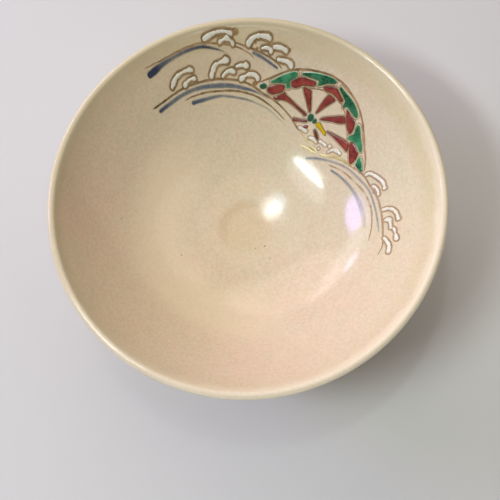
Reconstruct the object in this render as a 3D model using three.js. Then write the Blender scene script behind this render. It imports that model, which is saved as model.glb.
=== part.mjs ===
// A shallow summer tea bowl: a thrown stoneware body, a foot ring luted under it, one coat
// of cream glaze over the body, and raised enamels fired onto the glaze inside the wall.
// Millimetres, +Z up, origin at the middle of the circle that the foot stands on.
// The enamels picture a half-sunken cart wheel between two breaking waves.
import * as THREE from "three";

// Bowl
const rimRadius = 75; // to the outside of the lip
const rimHeight = 58; // top of the lip above the table
const lipThickness = 3.2;
const wallAtFoot = 5.3; // wall thickness beside the foot, glaze included
const wallCurve = 2.8; // power of the inner wall's curve: higher is a flatter floor
const floorHeight = 12.78; // glazed floor of the tea pool above the table
const poolRadius = 8; // the tea pool is a faint round hollow in the floor
const poolDepth = 0.12;
const poolEdge = 4; // width of the pool's sloping edge
const glazeThickness = 0.6;
const bareClay = 3.2; // width of unglazed body between the foot and the outer glaze
const layerGap = 0.05; // clearance between two layers that are fired together

// Foot
const footRadius = 26.6; // outside, where it stands
const footWidth = 5;
const footHeight = 6.5; // up to the underside of the body
const footOuterTaper = 1.2; // the ring is wider at its top, on either side
const footInnerTaper = 0.6;
const footChamfer = 0.7;
const nippleRadius = 7; // trimming leaves a low cone in the middle of the underside
const nippleHeight = 0.6;

// Enamels
const enamelLift = 0.25; // clearance between the glaze and an enamel
const enamelThickness = 0.55;
const enamelBevel = 0.12;
const motifMargin = 1.4; // from the outermost foam to the lip's inner edge

// Facets
const turns = 72; // segments of a full turn
const wallSteps = 10; // steps of the inner curve from the pool to the lip
const strokeSteps = 4; // steps along a brush stroke
const strokeEndSteps = 3; // steps round each end of a stroke
const dotSteps = 9; // steps round a dot

// The lip is a half circle. Where the inner wall meets it, and the wall's slope there,
// depend on each other, so the two relations are repeated until they settle.
const lipRadius = lipThickness / 2;
const lipCentre = new THREE.Vector2(rimRadius - lipRadius, rimHeight - lipRadius);
const wallFoot = floorHeight + poolDepth;
const settlingRounds = 30;
let mouthRadius = lipCentre.x;
let wallRise = lipCentre.y - wallFoot;
let lipSlope = 0;
for (let round = 0; round < settlingRounds; round++) {
  lipSlope = Math.atan((wallCurve * wallRise) / mouthRadius);
  mouthRadius = lipCentre.x - lipRadius * Math.sin(lipSlope);
  wallRise = lipCentre.y + lipRadius * Math.cos(lipSlope) - wallFoot;
}

// Height and slope angle of the glazed inner surface at a radius.
function innerHeight(r) {
  const pool = poolDepth * THREE.MathUtils.smoothstep(r, poolRadius, poolRadius + poolEdge);
  return floorHeight + pool + wallRise * (r / mouthRadius) ** wallCurve;
}
function innerSlope(r) {
  const wall = (wallCurve * wallRise * (r / mouthRadius) ** (wallCurve - 1)) / mouthRadius;
  const t = THREE.MathUtils.clamp((r - poolRadius) / poolEdge, 0, 1);
  const pool = (poolDepth * 6 * t * (1 - t)) / poolEdge; // slope of the smooth step
  return Math.atan(wall + pool);
}

// The point of the bowl's section that lies a depth into the wall from the inner surface.
function intoWall(r, depth) {
  const slope = innerSlope(r);
  const out = depth * Math.sin(slope);
  const down = depth * Math.cos(slope);
  return new THREE.Vector2(r + out, innerHeight(r) - down);
}

// Thickness of the whole wall: full beside the foot, and thinning evenly to the lip.
const footTopRadius = footRadius + footOuterTaper;
const glazeStop = footTopRadius + bareClay;
function wallThickness(r) {
  const share = THREE.MathUtils.inverseLerp(footTopRadius, mouthRadius, r);
  return THREE.MathUtils.lerp(wallAtFoot, lipThickness, THREE.MathUtils.clamp(share, 0, 1));
}

// Stretches of the section of a surface that lies a depth below the finished one: the floor
// and the inner wall, the glazed outer wall, and the lip between them.
const poolRim = poolRadius + poolEdge;
const wallStep = (mouthRadius - poolRim) / wallSteps;
function wallRadii(from) {
  const radii = [];
  for (let r = mouthRadius; r > from + wallStep / 2; r -= wallStep) {
    radii.unshift(r);
  }
  return [from, ...radii];
}
function inside(depth) {
  const radii = [0, poolRadius, poolRadius + poolEdge / 2, ...wallRadii(poolRim)];
  return radii.map((r) => intoWall(r, depth));
}
function outside(depth) {
  return wallRadii(glazeStop).map((r) => intoWall(r, wallThickness(r) - depth));
}
function lip(depth) {
  const top = Math.PI / 2;
  const angles = [top + lipSlope / 2, top, (top * 2) / 3, top / 3, 0];
  const radius = lipRadius - depth;
  return angles.map(
    (a) => new THREE.Vector2(radius * Math.cos(a), radius * Math.sin(a)).add(lipCentre),
  );
}

function material(color, roughness) {
  return new THREE.MeshStandardMaterial({ color, roughness, metalness: 0 });
}
const clay = material("#9c7757", 0.9);
const glaze = material("#d9cdb4", 0.35);
const white = material("#f1ece0", 0.3);
const green = material("#4f8f6f", 0.25);
const darkGreen = material("#2f5e4d", 0.25);
const red = material("#b5482f", 0.3);
const yellow = material("#d8a33a", 0.3);

const bowl = new THREE.Group();
function add(name, geometry, finish) {
  const mesh = new THREE.Mesh(geometry, finish);
  mesh.name = name;
  bowl.add(mesh);
}
function turned(section) {
  return new THREE.LatheGeometry(section, turns).rotateX(Math.PI / 2);
}

// The body, from the middle of its underside round by the lip to the middle of its floor.
const bodyDepth = glazeThickness + layerGap;
const bodySection = [
  new THREE.Vector2(0, footHeight - nippleHeight),
  new THREE.Vector2(nippleRadius, footHeight),
  new THREE.Vector2(footTopRadius, footHeight),
  intoWall(footTopRadius, wallAtFoot - bodyDepth),
  ...outside(bodyDepth),
  ...lip(bodyDepth).reverse(),
  ...inside(bodyDepth).reverse(),
];
add("clay_body", turned(bodySection), clay);

// The glaze, out along its back, round the lip and down outside, and back along its face.
const glazeSection = [
  ...inside(glazeThickness),
  ...lip(glazeThickness),
  ...outside(glazeThickness).reverse(),
  ...outside(0),
  ...lip(0).reverse(),
  ...inside(0).reverse(),
];
add("glaze_coat", turned(glazeSection), glaze);

// The foot ring, with both its lower edges broken.
const footInside = footRadius - footWidth;
const footTop = footHeight - layerGap;
const footSection = [
  new THREE.Vector2(footInside + footChamfer, 0),
  new THREE.Vector2(footRadius - footChamfer, 0),
  new THREE.Vector2(footRadius, footChamfer),
  new THREE.Vector2(footTopRadius, footTop),
  new THREE.Vector2(footInside - footInnerTaper, footTop),
  new THREE.Vector2(footInside, footChamfer),
  new THREE.Vector2(footInside + footChamfer, 0),
];
add("foot_ring", turned(footSection), clay);

// Every enamel is first an outline seen from above, with x to the right of the motif.
const enamels = [];
function enamel(name, outline, finish) {
  enamels.push({ name, outline, finish });
}

// A brush stroke along a smooth line, with a width at either end and round tips.
function stroke(line, startWidth, endWidth = startWidth) {
  const path = new THREE.SplineCurve(line.map(([x, y]) => new THREE.Vector2(x, y)));
  const along = [];
  for (let i = 0; i <= strokeSteps; i++) {
    const t = i / strokeSteps;
    const direction = path.getTangent(t).angle();
    const half = THREE.MathUtils.lerp(startWidth, endWidth, t) / 2;
    along.push({ centre: path.getPoint(t), direction, half });
  }
  const edge = ({ centre, direction, half }, turn) =>
    new THREE.Vector2(half, 0).rotateAround(new THREE.Vector2(), direction + turn).add(centre);
  const outline = along.map((at) => edge(at, -Math.PI / 2));
  for (let i = 1; i < strokeEndSteps; i++) {
    outline.push(edge(along[strokeSteps], Math.PI * (i / strokeEndSteps - 0.5)));
  }
  outline.push(...along.map((at) => edge(at, Math.PI / 2)).reverse());
  for (let i = 1; i < strokeEndSteps; i++) {
    outline.push(edge(along[0], Math.PI * (i / strokeEndSteps + 0.5)));
  }
  return outline;
}
function dot(x, y, halfWidth, halfHeight = halfWidth) {
  return new THREE.EllipseCurve(x, y, halfWidth, halfHeight).getPoints(dotSteps).slice(1);
}
function cell(corners) {
  return corners.map(([x, y]) => new THREE.Vector2(x, y));
}

// Foam on the crest of the left wave, from its upper row to its lower one.
const leftFoam = [
  stroke([[-17.6, 67.2], [-15.6, 68.2], [-13.1, 69.2], [-10, 69.8], [-6.5, 69.5]], 1),
  stroke([[-11.5, 67.1], [-10.2, 67.7], [-8.6, 68.1], [-7, 67.5], [-6.2, 67.1]], 0.9),
  stroke([[0, 67.4], [1.2, 68.1], [2.7, 68.9], [4.8, 69], [6.9, 68.9], [8.9, 68.2]], 1.1),
  stroke([[5.5, 66], [6.9, 66], [8.3, 65.8], [9.2, 65.3]], 0.8),
  stroke([[10.4, 66.1], [12.2, 65.8], [13.8, 65.4], [15.4, 64.6]], 0.9),
  stroke([[12.1, 62.8], [14, 62.4], [15.9, 62], [17.7, 60.6]], 1.1),
  stroke([[-30.9, 52.2], [-30.3, 53.6], [-29.2, 55.3], [-27.6, 56.7], [-22.6, 58.8]], 1.1, 1.3),
  stroke([[-25.9, 53.6], [-25.1, 54.7], [-23.7, 55.8], [-21.4, 56.4]], 0.9),
  stroke([[-15.2, 57.8], [-14.6, 59], [-13.7, 60.6], [-12, 61.7], [-8.4, 62.8]], 1.4),
  stroke([[-10.3, 58.4], [-9.3, 59.2], [-7.8, 59.9], [-5.7, 59.9]], 0.8),
  stroke([[-4.8, 61.2], [-3, 61.6], [-0.2, 61.6]], 0.9, 1.2),
  stroke([[-2.8, 57.7], [-1.7, 58.3], [-0.2, 59], [1.9, 59.1], [4.1, 57.9]], 0.9, 1.2),
];
// Foam on the crest of the right wave, from its top down.
const rightFoam = [
  stroke([[48.2, 18.4], [49.4, 18.6], [50.9, 17.5], [52.6, 15.8], [54.1, 14], [55, 11.2]], 1.1),
  stroke([[50.7, 13.3], [51.9, 12.2], [52.5, 10.8], [52.8, 9.3]], 0.9),
  stroke([[54.3, 2.7], [55.9, 2.7], [57.6, 1.7], [58.8, -0.1], [59.3, -2.8]], 1.2),
  stroke([[54.7, -1.9], [56.2, -2], [56.5, -3.9], [56.5, -5.7]], 0.9),
  stroke([[57.5, -6.3], [57.9, -7.8], [58.2, -10.1]], 0.8, 1.2),
  stroke([[54.1, -9.2], [54.9, -11], [55.5, -13], [55, -15.8]], 1, 1.2),
];
// Foam in the water that the wheel stands in.
const wheelFoam = [
  stroke([[21.5, 41], [22.8, 40.4], [24.3, 39.5]], 0.8),
  stroke([[25.6, 36.8], [26.8, 36.5], [27.8, 35.6], [28.4, 34.6]], 1),
  stroke([[30.1, 34.8], [31.4, 34.2], [32.3, 33.2]], 1),
  dot(34, 32.4, 0.6),
  dot(29.5, 32.3, 0.4),
  stroke([[33.4, 30.3], [35.3, 30.4], [36.8, 30.1], [37.8, 29]], 1.2),
];
leftFoam.forEach((outline, i) => enamel(`left_foam_${i + 1}`, outline, white));
rightFoam.forEach((outline, i) => enamel(`right_foam_${i + 1}`, outline, white));
wheelFoam.forEach((outline, i) => enamel(`wheel_foam_${i + 1}`, outline, white));

// The wheel's rim is two rings of felloes: green outside and red inside.
enamel("outer_felloe_1", dot(6.2, 55.6, 1.4, 0.8), darkGreen);
const outerFelloes = [
  [[9.2, 56.7], [11.8, 56.3], [15.3, 55.9], [15.9, 54.4], [17.4, 54.5], [17.1, 56.2],
    [19.9, 57.3], [20.2, 58.2], [19, 58.8], [17.1, 58.7], [13.4, 58.1]],
  [[22.4, 58.1], [22.8, 57.3], [25.9, 56.2], [29, 54.6], [28.4, 53.8], [29, 53.2],
    [32.1, 53.2], [34.9, 52.7], [35.7, 53.1], [33.7, 54.8], [30.6, 56.2], [27.4, 57.3]],
  [[37.4, 51.3], [37.1, 50.6], [38.4, 48.4], [39.3, 46.5], [38.7, 45.3], [38.8, 44.5],
    [40.3, 44.6], [42.1, 42.1], [43.7, 40.1], [44.5, 40.3], [44, 42.4], [42.8, 44.9],
    [40.9, 47.4], [39, 49.5]],
  [[44.6, 37.4], [43.8, 36.5], [43.5, 34.3], [41.5, 34.2], [41.2, 33.4], [43.7, 31.8],
    [44.6, 30.3], [45.6, 28.1], [46.3, 27.4], [46.5, 29.6], [45.9, 32.8], [45.4, 36.5]],
  [[45.6, 25.7], [44.9, 24.9], [44.2, 23.4], [44.6, 22.4], [46, 20.4], [46.8, 20.3],
    [46.8, 22.4], [46.2, 25.3]],
];
const innerFelloes = [
  [[8.1, 54.6], [8.4, 53.8], [9.6, 53.1], [11.5, 53.1], [14, 53.7], [14.8, 54.6],
    [14.3, 55.3], [12.1, 55.6], [9.6, 55.4]],
  [[17.9, 55.3], [19, 54.3], [20.9, 54.3], [22.8, 54.6], [25.9, 53.8], [27.3, 53.8],
    [27.1, 54.8], [24.3, 56], [22.4, 56.8], [20.3, 56.7], [18.4, 56.2]],
  [[30.9, 52.4], [32.1, 51.2], [34, 50.3], [36.2, 48.4], [37.8, 46.7], [38.2, 47.1],
    [37.1, 49], [35.9, 50.9], [34.6, 51.7], [32.1, 52.4]],
  [[40.3, 43.2], [40.4, 39.6], [40.9, 36.8], [41.5, 35.4], [42.3, 35.7], [43.1, 37.4],
    [43.1, 39], [41.5, 41.5]],
  [[41.8, 31.5], [41.7, 28.1], [42, 24.5], [43.1, 24.5], [44.3, 25.9], [44.8, 27.6],
    [44, 29.9], [42.8, 31.8]],
];
outerFelloes.forEach((corners, i) => enamel(`outer_felloe_${i + 2}`, cell(corners), green));
innerFelloes.forEach((corners, i) => enamel(`inner_felloe_${i + 1}`, cell(corners), red));

// Red spokes, clockwise from the left of the hub.
const spokes = [
  cell([[10.6, 51.8], [11.8, 51.2], [14.3, 51], [17.1, 49.9], [21.5, 46.7], [23.4, 44.9],
    [24, 45.3], [19.6, 49], [15.6, 52.4], [14.9, 53.1], [12.4, 52.3]]),
  cell([[22.9, 53.8], [23.1, 52.4], [24, 49.9], [25.3, 46], [25.7, 46], [25.9, 48.4],
    [25.9, 50.9], [25.6, 52.4]]),
  cell([[32.9, 49.8], [30.9, 48.4], [29, 46.2], [28.1, 45.1], [28.7, 45.1], [32.1, 46.5],
    [35.1, 47.4], [35.3, 47.9], [33.4, 49.6]]),
  cell([[29.9, 42.6], [32.1, 41.8], [34.6, 41], [37.1, 39.9], [39.8, 39.3], [39.8, 40.1],
    [39, 41.7], [35.3, 42.4], [32.1, 42.8]]),
  cell([[32.6, 37.8], [34.6, 36.2], [36.8, 33.7], [38.7, 31.5], [40.4, 29.3], [40.9, 29.6],
    [41.2, 31.8], [39.3, 33.7], [36.5, 35.7], [33.4, 37.6]]),
  cell([[27.6, 39.3], [27.9, 37.4], [28.7, 35.9], [29.2, 36.2], [28.1, 39]]),
  dot(24, 40.9, 1, 0.5),
  cell([[18.7, 44], [19, 43.5], [21.2, 43.2], [24.2, 42.6], [24.3, 43.1], [20.9, 44],
    [19, 44.5]]),
];
spokes.forEach((outline, i) => enamel(`spoke_${i + 1}`, outline, red));

enamel("wheel_hub", dot(26, 43.8, 1.1), green);
enamel("hub_cap", dot(27.8, 42.4, 0.9), darkGreen);
enamel("axle", cell([[28.1, 40.9], [31.8, 36.5], [32.4, 37.3], [29.3, 41.7]]), yellow);

// The motif is drawn to reach up to its margin below the lip.
const drawnReach = Math.max(...enamels.flatMap(({ outline }) => outline.map((p) => p.length())));
const motifScale = (mouthRadius - motifMargin) / drawnReach;

// Lays a flat slab on the wall: each point keeps its height, square to the surface.
function layOnWall(slab) {
  const points = slab.getAttribute("position");
  const point = new THREE.Vector3();
  for (let i = 0; i < points.count; i++) {
    point.fromBufferAttribute(points, i);
    const height = point.z + enamelThickness / 2 + enamelLift;
    const r = motifScale * Math.hypot(point.x, point.y);
    const angle = Math.atan2(point.y, point.x);
    const raised = intoWall(r, -height);
    points.setXYZ(i, raised.x * Math.cos(angle), raised.x * Math.sin(angle), raised.y);
  }
  return slab;
}

// An enamel is a low pillow: widest at half its thickness, on the outline as drawn.
const pillow = {
  depth: 0,
  bevelSegments: 1,
  bevelThickness: enamelThickness / 2,
  bevelSize: enamelBevel,
  bevelOffset: -enamelBevel,
};
for (const { name, outline, finish } of enamels) {
  const slab = new THREE.ExtrudeGeometry(new THREE.Shape(outline), pillow);
  add(name, layOnWall(slab), finish);
}

export default bowl;
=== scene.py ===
import math

import bmesh
import bpy
import numpy as np
from mathutils import Matrix, Vector, noise


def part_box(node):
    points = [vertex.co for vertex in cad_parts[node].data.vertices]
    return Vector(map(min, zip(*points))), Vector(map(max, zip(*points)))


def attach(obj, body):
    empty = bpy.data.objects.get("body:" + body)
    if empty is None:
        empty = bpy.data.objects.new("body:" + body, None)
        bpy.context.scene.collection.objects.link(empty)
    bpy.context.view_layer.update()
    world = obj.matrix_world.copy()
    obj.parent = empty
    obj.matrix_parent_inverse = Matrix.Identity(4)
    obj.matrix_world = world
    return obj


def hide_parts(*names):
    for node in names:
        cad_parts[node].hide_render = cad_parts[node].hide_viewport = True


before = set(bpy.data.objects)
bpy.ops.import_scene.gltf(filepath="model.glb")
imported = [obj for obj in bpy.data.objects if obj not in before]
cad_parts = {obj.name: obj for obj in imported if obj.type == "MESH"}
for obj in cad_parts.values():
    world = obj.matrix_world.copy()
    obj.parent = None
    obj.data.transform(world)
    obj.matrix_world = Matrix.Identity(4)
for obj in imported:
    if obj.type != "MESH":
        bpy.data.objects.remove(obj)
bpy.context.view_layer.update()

# The body: buff stoneware thrown on a wheel as a shallow bowl, then turned over and trimmed
# with a loop tool. Only a narrow band round the foot and the middle of the underside stay
# bare. It shrank a little out of round in the kiln, most at the rim.
MM = 0.001
rim_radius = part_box("glaze_coat")[1].x / MM
rim_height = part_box("glaze_coat")[1].z / MM
lip_radius = 1.6
wall_at_foot = 5.3
wall_curve = 2.8
floor_height = 12.78
pool_radius = 6.0
pool_edge = 8.0
pool_depth = 0.12
glaze_thickness = 0.6
layer_gap = 0.05
foot_top_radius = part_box("foot_ring")[1].x / MM
foot_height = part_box("foot_ring")[1].z / MM + layer_gap
glaze_stop = foot_top_radius + 3.2
nipple_radius = 7.0
nipple_height = 0.6
oval_share = 0.0091
oval_turn = math.radians(37)
turn_steps = 240
inside_steps = 90
lip_steps = 14
outside_steps = 60
merge_distance = 0.001
neck_hollow = ((0.25, 2.0), (0.7, -1.2), (0.2, -0.1))
lip_centre = np.array((rim_radius - lip_radius, rim_height - lip_radius))
wall_foot = floor_height + pool_depth
mouth_radius = lip_centre[0]
wall_rise = lip_centre[1] - wall_foot
# Where the inner wall meets the round of the lip, and its slope there, settle together.
for settling in range(30):
    lip_slope = math.atan(wall_curve * wall_rise / mouth_radius)
    mouth_radius = lip_centre[0] - lip_radius * math.sin(lip_slope)
    wall_rise = lip_centre[1] + lip_radius * math.cos(lip_slope) - wall_foot


def inner_height(r):
    """Height of the glazed inner surface at a radius, in millimetres."""
    t = min(max((r - pool_radius) / pool_edge, 0), 1)
    return floor_height + pool_depth * t * t * (3 - 2 * t) + wall_rise * (r / mouth_radius) ** wall_curve


def inner_slope(r):
    """How steep the inner surface is at a radius, as an angle."""
    t = min(max((r - pool_radius) / pool_edge, 0), 1)
    wall = wall_curve * wall_rise / mouth_radius * (r / mouth_radius) ** (wall_curve - 1)
    return math.atan(wall + pool_depth * 6 * t * (1 - t) / pool_edge)


def into_wall(r, depth):
    """The point of the bowl's half section that lies a depth below the inner surface."""
    slope = inner_slope(r)
    return r + depth * math.sin(slope), inner_height(r) - depth * math.cos(slope)


def wall_thickness(r):
    """The wall thins evenly from the foot to the lip."""
    share = min(max((r - foot_top_radius) / (mouth_radius - foot_top_radius), 0), 1)
    return wall_at_foot + (2 * lip_radius - wall_at_foot) * share


def inside(depth):
    """The half section a depth below the inner surface, from the middle to the lip."""
    return [into_wall(r, depth) for r in np.linspace(0, mouth_radius, inside_steps + 1)]


def lip(depth):
    """The same round the lip."""
    angles = np.linspace(math.pi / 2 + lip_slope, lip_slope - math.pi / 2, lip_steps + 1)[1:-1]
    reach = lip_radius - depth
    return [(lip_centre[0] + reach * math.cos(a), lip_centre[1] + reach * math.sin(a)) for a in angles]


def outside(depth):
    """The same down the outside, from the lip to where the glaze stops."""
    radii = np.linspace(mouth_radius, glaze_stop, outside_steps + 1)
    return [into_wall(r, wall_thickness(r) - depth) for r in radii]


def kiln_pull(r, around):
    """How far the kiln has pulled a point outwards, as a share of its radius."""
    return oval_share * math.cos(2 * (around - oval_turn)) * (r / rim_radius) ** 2


def fire(shape):
    """Pulls a shape out of round, as the kiln does."""
    for v in shape.verts:
        pull = 1 + kiln_pull(math.hypot(v.co.x, v.co.y), math.atan2(v.co.y, v.co.x))
        v.co.x *= pull
        v.co.y *= pull


def turn(section):
    """A closed shape of revolution, spun about the wheel's axis from its half section."""
    shape = bmesh.new()
    points = [shape.verts.new((r, 0, z)) for r, z in section]
    lines = [shape.edges.new(pair) for pair in zip(points, points[1:])]
    bmesh.ops.spin(
        shape,
        geom=points + lines,
        cent=(0, 0, 0),
        axis=(0, 0, 1),
        angle=math.tau,
        steps=turn_steps,
        use_merge=True,
    )
    bmesh.ops.remove_doubles(shape, verts=shape.verts, dist=merge_distance)
    bmesh.ops.recalc_face_normals(shape, faces=shape.faces)
    return shape


def piece(name, shape, finish, slot, *nodes):
    """Hands over a shape made in millimetres as a finished piece of the bowl."""
    bmesh.ops.scale(shape, vec=(MM, MM, MM), verts=shape.verts)
    mesh = bpy.data.meshes.new(name)
    shape.to_mesh(mesh)
    shape.free()
    mesh.materials.append(finish)
    mesh.shade_smooth()
    made = bpy.data.objects.new(name, mesh)
    bpy.context.scene.collection.objects.link(made)
    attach(made, "root")
    if nodes:
        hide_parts(*nodes)


def feed(tree, socket, value):
    """Links a socket to another one, or sets it to a plain value."""
    if isinstance(value, bpy.types.NodeSocket):
        tree.links.new(value, socket)
    else:
        socket.default_value = value


def set_inputs(tree, made, **inputs):
    """Feeds a node's inputs by name, with an underscore for each space."""
    for name, value in inputs.items():
        feed(tree, made.inputs[name.replace("_", " ")], value)


def node(tree, kind, settings=(), **inputs):
    """Adds a shader node with its settings, and feeds its inputs."""
    made = tree.nodes.new("ShaderNode" + kind)
    for name, value in dict(settings).items():
        setattr(made, name, value)
    set_inputs(tree, made, **inputs)
    return made


def reckon(tree, operation, *values):
    """The output of a Math node that works on the values."""
    made = tree.nodes.new("ShaderNodeMath")
    made.operation = operation
    for socket, value in zip(made.inputs, values):
        feed(tree, socket, value)
    return made.outputs[0]


def blend(tree, share, first, second):
    """The output of a colour Mix node."""
    made = tree.nodes.new("ShaderNodeMix")
    made.data_type = "RGBA"
    sockets = {s.identifier: s for s in made.inputs}
    feed(tree, sockets["Factor_Float"], share)
    feed(tree, sockets["A_Color"], first)
    feed(tree, sockets["B_Color"], second)
    return next(s for s in made.outputs if s.identifier == "Result_Color")


def recorded(tree, name):
    """A value that a shape records at each of its points."""
    return node(tree, "Attribute", {"attribute_name": name}).outputs["Fac"]


def ease(tree, value, low, high):
    """A mask that rises smoothly from 0 to 1 as the value goes from low to high."""
    smooth = {"interpolation_type": "SMOOTHSTEP"}
    return node(tree, "MapRange", smooth, Value=value, From_Min=low, From_Max=high).outputs["Result"]


def shade(red, green, blue):
    """A colour given as seen on a screen, from 0 to 255."""
    linear = [c / 255 / 12.92 if c < 11 else ((c / 255 + 0.055) / 1.055) ** 2.4 for c in (red, green, blue)]
    return (*linear, 1)


def group(name, inputs, outputs):
    """A new shader node group: its tree, and its input and output nodes."""
    tree = bpy.data.node_groups.new(name, "ShaderNodeTree")
    for socket, value in inputs.items():
        tree.interface.new_socket(socket, in_out="INPUT", socket_type="NodeSocketFloat").default_value = value
    for socket in outputs:
        tree.interface.new_socket(socket, in_out="OUTPUT", socket_type="NodeSocketFloat")
    return tree, tree.nodes.new("NodeGroupInput"), tree.nodes.new("NodeGroupOutput")


def use(tree, effect, **inputs):
    """Places a node group in a material with its own values."""
    return node(tree, "Group", {"node_tree": effect}, **inputs)


def cloudiness():
    """Soft clouds of two sizes, for the way that glaze, clay and enamel change in colour."""
    tree, given, put = group("Clouds", {"Size mm": 10, "Seed": 0}, ["Cloud", "Fine cloud"])
    place = node(tree, "TexCoord").outputs["Object"]
    scale = reckon(tree, "DIVIDE", 1000, given.outputs["Size mm"])
    seeded = {"noise_dimensions": "4D"}
    seed = given.outputs["Seed"]
    big = node(tree, "TexNoise", seeded, Vector=place, W=seed, Scale=scale, Detail=3)
    fine_scale = reckon(tree, "MULTIPLY", scale, 6)
    fine = node(tree, "TexNoise", seeded, Vector=place, W=seed, Scale=fine_scale, Detail=4)
    broad = ease(tree, big.outputs[0], 0.36, 0.64)
    set_inputs(tree, put, Cloud=broad, Fine_cloud=ease(tree, fine.outputs[0], 0.36, 0.64))
    return tree


def surface_grain():
    """Fine unevenness of a fired surface, as a height, and its scattered pinholes."""
    tree, given, put = group("Grain", {"Size mm": 0.6, "Pinholes": 0}, ["Height", "Pinhole"])
    place = node(tree, "TexCoord").outputs["Object"]
    scale = reckon(tree, "DIVIDE", 1000, given.outputs["Size mm"])
    grain = node(tree, "TexNoise", Vector=place, Scale=scale, Detail=3, Roughness=0.55)
    holes = node(tree, "TexVoronoi", Vector=place, Scale=reckon(tree, "MULTIPLY", scale, 0.3), Randomness=1.0)
    small = ease(tree, holes.outputs["Distance"], 0.1, 0.05)
    hole_pick = node(tree, "SeparateColor", Color=holes.outputs["Color"]).outputs[0]
    rare = reckon(tree, "LESS_THAN", hole_pick, 0.3)
    hole = reckon(tree, "MULTIPLY", reckon(tree, "MULTIPLY", small, rare), given.outputs["Pinholes"])
    set_inputs(tree, put, Pinhole=hole, Height=reckon(tree, "SUBTRACT", grain.outputs[0], hole))
    return tree


clouds = cloudiness()
grain = surface_grain()


def new_finish(name):
    """A material for one finish of the bowl, with its node tree and its main shader."""
    made = bpy.data.materials.new(name)
    made.use_nodes = True
    return made, made.node_tree, made.node_tree.nodes["Principled BSDF"]


def relief(tree, look, strength, reach, height):
    """Lets a height that changes over the surface catch the light, as fine relief does."""
    bump = node(tree, "Bump", Strength=strength, Distance=reach, Height=height)
    set_inputs(tree, look, Normal=bump.outputs["Normal"])


def bare_clay():
    """Unglazed stoneware: warm buff with darker grog, and rings left by the trimming tool."""
    made, tree, look = new_finish("Bare stoneware")
    cloud = use(tree, clouds, Size_mm=12, Seed=4)
    skin = use(tree, grain, Size_mm=0.5, Pinholes=1)
    buff = blend(tree, cloud.outputs["Cloud"], shade(176, 140, 104), shade(160, 120, 86))
    toasted = blend(tree, cloud.outputs["Fine cloud"], buff, shade(188, 156, 120))
    pitted = blend(tree, skin.outputs["Pinhole"], toasted, shade(92, 66, 48))
    set_inputs(tree, look, Base_Color=pitted, Roughness=0.85)
    place = node(tree, "TexCoord").outputs["Object"]
    turned = {"wave_type": "RINGS", "rings_direction": "Z"}
    rings = node(tree, "TexWave", turned, Vector=place, Scale=160, Distortion=1.5, Detail=2)
    height = reckon(tree, "MULTIPLY_ADD", rings.outputs["Fac"], 0.5, skin.outputs["Height"])
    relief(tree, look, 0.6, 0.0001, height)
    return made


clay = bare_clay()
body_depth = glaze_thickness + layer_gap
neck = into_wall(foot_top_radius, wall_at_foot - body_depth)
body_section = [
    (0, foot_height - nipple_height),
    (nipple_radius * 0.3, foot_height - nipple_height * 0.8),
    (nipple_radius, foot_height),
    (foot_top_radius, foot_height),
    (foot_top_radius + neck_hollow[0][0], foot_height + neck_hollow[0][1]),
    (foot_top_radius + neck_hollow[1][0], neck[1] + neck_hollow[1][1]),
    (neck[0] + neck_hollow[2][0], neck[1] + neck_hollow[2][1]),
    *reversed(outside(body_depth)),
    *reversed(lip(body_depth)),
    *reversed(inside(body_depth)),
]
body_shape = turn(body_section)
fire(body_shape)
piece("stoneware_body", body_shape, clay, "clay", "clay_body")

# The foot: a ring of the same clay, luted under the body while both were leather hard, and
# trimmed with it. Its edge is broken so that it doesn't scratch a tray, and worn by use.
foot_radius = 26.6
foot_inside = 21.6
foot_edge = 0.7
foot_top_inside = 21.0
foot_lap = 0.3
foot_shoulder = 1.4
foot_fillet = 0.8


def quarter(centre, radius, start, end, steps=5):
    """Points on an arc of a section, with its angles in degrees."""
    angles = np.radians(np.linspace(start, end, steps + 1))
    return [(centre[0] + radius * math.cos(a), centre[1] + radius * math.sin(a)) for a in angles]


foot_section = [
    *quarter((foot_radius - foot_edge, foot_edge), foot_edge, -90, 0),
    (foot_top_radius - 0.2, foot_height - foot_shoulder),
    (foot_top_radius, foot_height - 0.2),
    (foot_top_radius - 0.4, foot_height + foot_lap),
    (foot_top_inside - foot_fillet - 0.2, foot_height + foot_lap),
    (foot_top_inside - foot_fillet - 0.2, foot_height - layer_gap),
    *quarter((foot_top_inside - foot_fillet, foot_height - foot_fillet - 0.1), foot_fillet, 85, 0),
    *quarter((foot_inside + foot_edge, foot_edge), foot_edge, 180, 270),
]
foot_section.append(foot_section[0])
foot_shape = turn(foot_section)
piece("foot", foot_shape, clay, "clay", "foot_ring")

# The glaze: one coat of cream feldspar glaze, poured inside and dipped outside, and wiped
# back from the foot. Low throwing rings show through it, it is finely crackled, it pooled
# darker round the well for the tea, and it drew thin and pale on the lip. Some of its colour
# is painted light and shade: a warm front, a sheen on the left wall, shade at the back of the
# well's edge and below the back of the lip, and a lip painted lighter on the right.
ring_pitch = 5.2
ring_height = 0.015
rings_from = 16
rings_until = 70
stop_waver = 0.7
stop_waver_reach = 12
iron_specks = [
    (6.9, -7.3, 0.45), (3.0, -8.3, 0.3), (9.2, -12.6, 0.3), (-27.8, -12.0, 0.4), (-51.3, -0.2, 0.35),
]
sheen_radius = 38
sheen_reach = 16
well_radius = 12
well_edge_radius = 11
well_edge_width = 3.5
straw_below_top = 12
pale_below_top = 4.5
crackle_scale = 520
iron_dot_scale = 150


def throwing_rings(r, around):
    """Height of the low spiral that the potter's fingers left inside."""
    spiral = math.sin(math.tau * r / ring_pitch + around)
    fading = 0.4 + 0.6 * noise.noise(Vector((r / 22, math.cos(around), math.sin(around))))
    start = min(max((r - rings_from) / 10, 0), 1)
    end = min(max((rings_until - r) / 6, 0), 1)
    return ring_height * spiral * fading * start * end


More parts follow.
